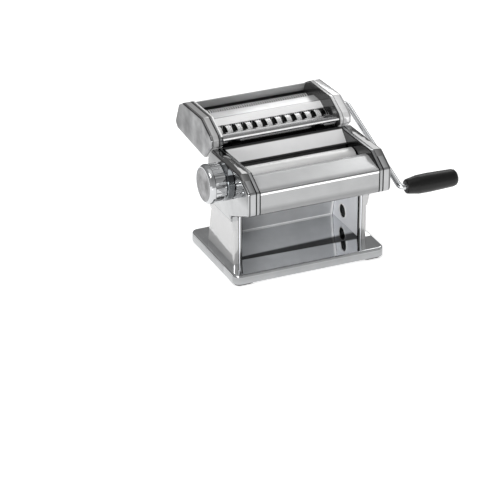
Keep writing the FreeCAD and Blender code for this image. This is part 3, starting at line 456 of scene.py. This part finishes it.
# One finish for each material slot whose nodes don't all have their own.
SLOT_FINISH = {
    "polished_base": base_finish(),
    "satin_frame": frame_finish(),
    "rear_sheet": rear_sheet_finish(),
    # comb_steel: painted shade, the combs are near black where they sit in the dark under the rollers
    "comb_steel": metal("comb_steel", (0.04, 0.04, 0.04), (0.07, 0.07, 0.07), 0.30, 0.42, ALONG_X, 1200, 0.04),
    "roller_aluminium": metal("roller_aluminium", (0.84, 0.84, 0.835), (0.92, 0.92, 0.915), 0.30, 0.40,
                              ALONG_X, 1300, 0.05, 0.0, 0.35),
    "shaft_steel": metal("shaft_steel", (0.46, 0.46, 0.48), (0.54, 0.54, 0.56), 0.20, 0.30, EVEN, 900, 0.03),
    "gear_steel": metal("gear_steel", (0.38, 0.38, 0.40), (0.46, 0.46, 0.48), 0.30, 0.42, EVEN, 900, 0.04),
    "fastener_zinc": metal("fastener_zinc", (0.52, 0.54, 0.56), (0.60, 0.61, 0.62), 0.28, 0.40, EVEN, 700, 0.04),
    "bush_brass": metal("bush_brass", (0.62, 0.46, 0.22), (0.74, 0.56, 0.28), 0.24, 0.36, EVEN, 700, 0.03),
    "regulator_plate": metal("regulator_plate", (0.16, 0.17, 0.175), (0.24, 0.25, 0.26), 0.08, 0.13,
                             EVEN, 500, 0.01, 0.05),
    "knob_chrome": metal("knob_chrome", (0.50, 0.51, 0.52), (0.60, 0.61, 0.62), 0.05, 0.09, EVEN, 500, 0.01, 0.05),
    "spring_steel": metal("spring_steel", (0.45, 0.45, 0.46), (0.55, 0.55, 0.56), 0.25, 0.35, EVEN, 900, 0.03),
    "crank_chrome": metal("crank_chrome", (0.56, 0.57, 0.58), (0.66, 0.67, 0.68), 0.08, 0.14, EVEN, 500, 0.01, 0.03),
    "grip_black": matt("grip_black", 0.004, 0.008, 0.32, 900.0, 0.04),
    "feet_rubber": matt("feet_rubber", 0.015, 0.03, 0.75, 700.0, 0.2),
}

# Pieces whose finish differs from the rest of their slot.
OWN_FINISH = {
    "left_side_cover": cover_finish("left_cover_finish"),
    "right_side_cover": cover_finish("right_cover_finish"),
    "front_cover": front_finish(),
    "hopper_plate": hopper_finish(),
    "rear_cover": rear_cover_finish(),
    # rear_roller: painted shade, near black where it shows in the dark nip under the hopper plate
    "rear_roller": metal("rear_roller_painted_shade", (0.05, 0.05, 0.05), (0.07, 0.07, 0.07), 0.35, 0.45,
                         ALONG_X, 1300, 0.05),
    "knob_cap": metal("knob_cap_finish", (0.07, 0.07, 0.07), (0.42, 0.42, 0.43), 0.06, 0.12, EVEN, 500, 0.01, 0.3),
    "cutter_left_cover": cap_finish(),
    "cutter_right_cover": rim_finish("cutter_right_cover_finish"),
    "cutter_right_frame": rim_finish("cutter_right_frame_finish"),
    "cutter_front_plate": nose_finish(),
    "cutter_divider": divider_finish(),
    "cutter_rear_plate": cutter_rear_finish(),
    # mounting_tongues: painted shade, near black to merge with the dark gap under the cutter unit
    "mounting_tongues": metal("tongue_painted_shade", (0.05, 0.05, 0.05), (0.08, 0.08, 0.08), 0.4, 0.5, EVEN, 900, 0.05),
    "wide_front_roller": disc_finish("wide_front_finish", 39.0, 0.5),
    "wide_rear_roller": disc_finish("wide_rear_finish", 58.0, 0.5),
    "fine_front_roller": disc_finish("fine_front_finish", 90.5, 0.0),
    "fine_rear_roller": disc_finish("fine_rear_finish", 109.5, 0.0),
}


# ---- shown pieces -----------------------------------------------------------------------------

SEAMS = {
    "left_frame": (-81.2, 0.55), "right_frame": (81.2, 0.55),
    "left_side_cover": (-81.2, 0.55), "right_side_cover": (81.2, 0.55),
    "cutter_left_frame": (-80.6, 0.5), "cutter_right_frame": (80.6, 0.5),
    "cutter_left_cover": (-80.6, 0.5), "cutter_right_cover": (80.6, 0.5),
}


def ease_seam(build, x, width):
    """Rounds the outer edge of a pressing where it meets its neighbour, so that the seam shows as a dark line."""
    rim = []
    for edge in build.edges:
        if len(edge.link_faces) != 2 or edge.calc_face_angle(0.0) < math.radians(60):
            continue
        if any(abs(v.co.x - x * MM) > 2e-5 for v in edge.verts):
            continue
        side = [f for f in edge.link_faces if abs(f.normal.x) < 0.5]
        flat = [f for f in edge.link_faces if abs(f.normal.x) > 0.9]
        if len(side) != 1 or len(flat) != 1:
            continue
        if side[0].normal.dot(edge.verts[0].co - flat[0].calc_center_median()) > 0:
            rim.append(edge)
    bmesh.ops.bevel(build, geom=rim, offset=width * MM, offset_type="OFFSET", segments=3, profile=0.5,
                    affect="EDGES", clamp_overlap=True)


def skin(node, angle=28.0):
    """A copy of the CAD node with its mesh welded and its rounded surfaces shaded smooth."""
    source = NODES[node]
    mesh = source.data.copy()
    mesh.name = node + "_skin"
    build = bmesh.new()
    build.from_mesh(mesh)
    bmesh.ops.remove_doubles(build, verts=build.verts, dist=2e-6)
    bmesh.ops.recalc_face_normals(build, faces=build.faces)
    if node in SEAMS:
        ease_seam(build, *SEAMS[node])
    limit = math.radians(angle)
    for face in build.faces:
        face.smooth = True
    for edge in build.edges:
        edge.smooth = len(edge.link_faces) == 2 and edge.calc_face_angle(0.0) < limit
    build.to_mesh(mesh)
    build.free()
    mesh.materials.clear()
    finish = OWN_FINISH[node] if node in OWN_FINISH else SLOT_FINISH[SLOT_OF[node]]
    mesh.materials.append(finish.material)
    piece = bpy.data.objects.new(node + "_shown", mesh)
    bpy.context.scene.collection.objects.link(piece)
    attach(piece, BODY_OF[node])
    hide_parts(node)
    return piece


for node in sorted(NODES):
    skin(node)


# ---- floor, light and camera --------------------------------------------------------------------

def look(eye, target):
    """Rotation that points -Z from eye to target, with +Y as near to up as it goes."""
    return (Vector(target) - Vector(eye)).to_track_quat("-Z", "Y").to_matrix().to_4x4()


def floor():
    mesh = bpy.data.meshes.new("floor")
    build = bmesh.new()
    bmesh.ops.create_grid(build, x_segments=4, y_segments=4, size=6.0)
    build.to_mesh(mesh)
    build.free()
    n = Nodes("floor_paper")
    patch = n.noise((1, 1, 1), 40.0, 3.0)
    colour = n.ramp(patch, "Fac", 0.90, 0.92)
    n.join(colour, "Color", n.shader, "Base Color")
    n.shader.inputs["Roughness"].default_value = 0.9
    n.shader.inputs["Specular IOR Level"].default_value = 0.1
    n.shader.inputs["Emission Color"].default_value = grey(1.0)
    n.shader.inputs["Emission Strength"].default_value = 0.62
    mesh.materials.append(n.material)
    plane = bpy.data.objects.new("floor", mesh)
    bpy.context.scene.collection.objects.link(plane)


def area(name, eye, target, width, height, power):
    light = bpy.data.lights.new(name, "AREA")
    light.shape = "RECTANGLE"
    light.size = width
    light.size_y = height
    light.energy = power
    lamp = bpy.data.objects.new(name, light)
    lamp.matrix_world = Matrix.Translation(Vector(eye)) @ look(eye, target)
    bpy.context.scene.collection.objects.link(lamp)


# Brightness of the room against the sine of the height above the horizon.
ROOM_BEHIND = ((0.0, 0.20), (0.40, 0.26), (0.60, 0.38), (0.85, 0.36), (0.95, 0.75), (1.0, 0.9))
ROOM_IN_FRONT = ((0.0, 0.55), (0.45, 0.45), (0.70, 0.30), (0.88, 0.28), (0.95, 0.60), (1.0, 0.9))


def studio():
    """A soft room: brighter towards the front, dim behind and straight above."""
    world = bpy.data.worlds.new("studio")
    bpy.context.scene.world = world
    world.use_nodes = True
    tree = world.node_tree
    coords = tree.nodes.new("ShaderNodeTexCoord")
    split = tree.nodes.new("ShaderNodeSeparateXYZ")
    tree.links.new(coords.outputs["Generated"], split.inputs["Vector"])
    profiles = []
    for stops in (ROOM_BEHIND, ROOM_IN_FRONT):
        ramp = tree.nodes.new("ShaderNodeValToRGB")
        points = ramp.color_ramp.elements
        for point, (place, value) in zip(points, (stops[0], stops[-1])):
            point.position = place
            point.color = grey(value)
        for place, value in stops[1:-1]:
            points.new(place).color = grey(value)
        tree.links.new(split.outputs["Z"], ramp.inputs["Fac"])
        profiles.append(ramp)
    front = tree.nodes.new("ShaderNodeMath")
    front.operation = "MULTIPLY_ADD"
    front.use_clamp = True
    front.inputs[1].default_value = -1.6
    front.inputs[2].default_value = 0.4
    tree.links.new(split.outputs["Y"], front.inputs[0])
    mix = tree.nodes.new("ShaderNodeMix")
    mix.data_type = "RGBA"
    tree.links.new(front.outputs["Value"], mix.inputs[0])
    tree.links.new(profiles[0].outputs["Color"], mix.inputs[6])
    tree.links.new(profiles[1].outputs["Color"], mix.inputs[7])
    tree.links.new(mix.outputs[2], tree.nodes["Background"].inputs["Color"])
    tree.nodes["Background"].inputs["Strength"].default_value = 1.0


floor()
studio()
area("behind", (0.45, 0.62, 0.60), (0.05, 0.0, 0.13), 0.45, 0.34, 0.9)
area("behind_high", (0.80, 0.60, 1.02), (0.05, -0.05, 0.13), 0.50, 0.40, 0.9)
area("overhead_left", (-0.7, -0.45, 1.5), (0, 0, 0.14), 0.9, 0.6, 8.0)
area("low_front", (-0.9, -1.2, 0.22), (0, 0, 0.05), 0.5, 0.3, 9.0)
bpy.context.scene.view_settings.view_transform = "Standard"
bpy.context.scene.view_settings.look = "None"

EYE = Vector((-1180.90, -2543.98, 1422.89)) * MM
BACK = Vector((-0.35966, -0.81770, 0.44943))
RIGHT = Vector((0.91536, -0.40262, 0.0))
UP = BACK.cross(RIGHT)
camera_data = bpy.data.cameras.new("camera")
camera_data.sensor_width = 36.0
camera_data.lens = 194.57
camera_data.clip_start = 0.05
camera_data.clip_end = 50.0
camera = bpy.data.objects.new("camera", camera_data)
turn = Matrix((RIGHT, UP, BACK)).transposed().to_4x4()
camera.matrix_world = Matrix.Translation(EYE) @ turn
bpy.context.scene.collection.objects.link(camera)
bpy.context.scene.camera = camera
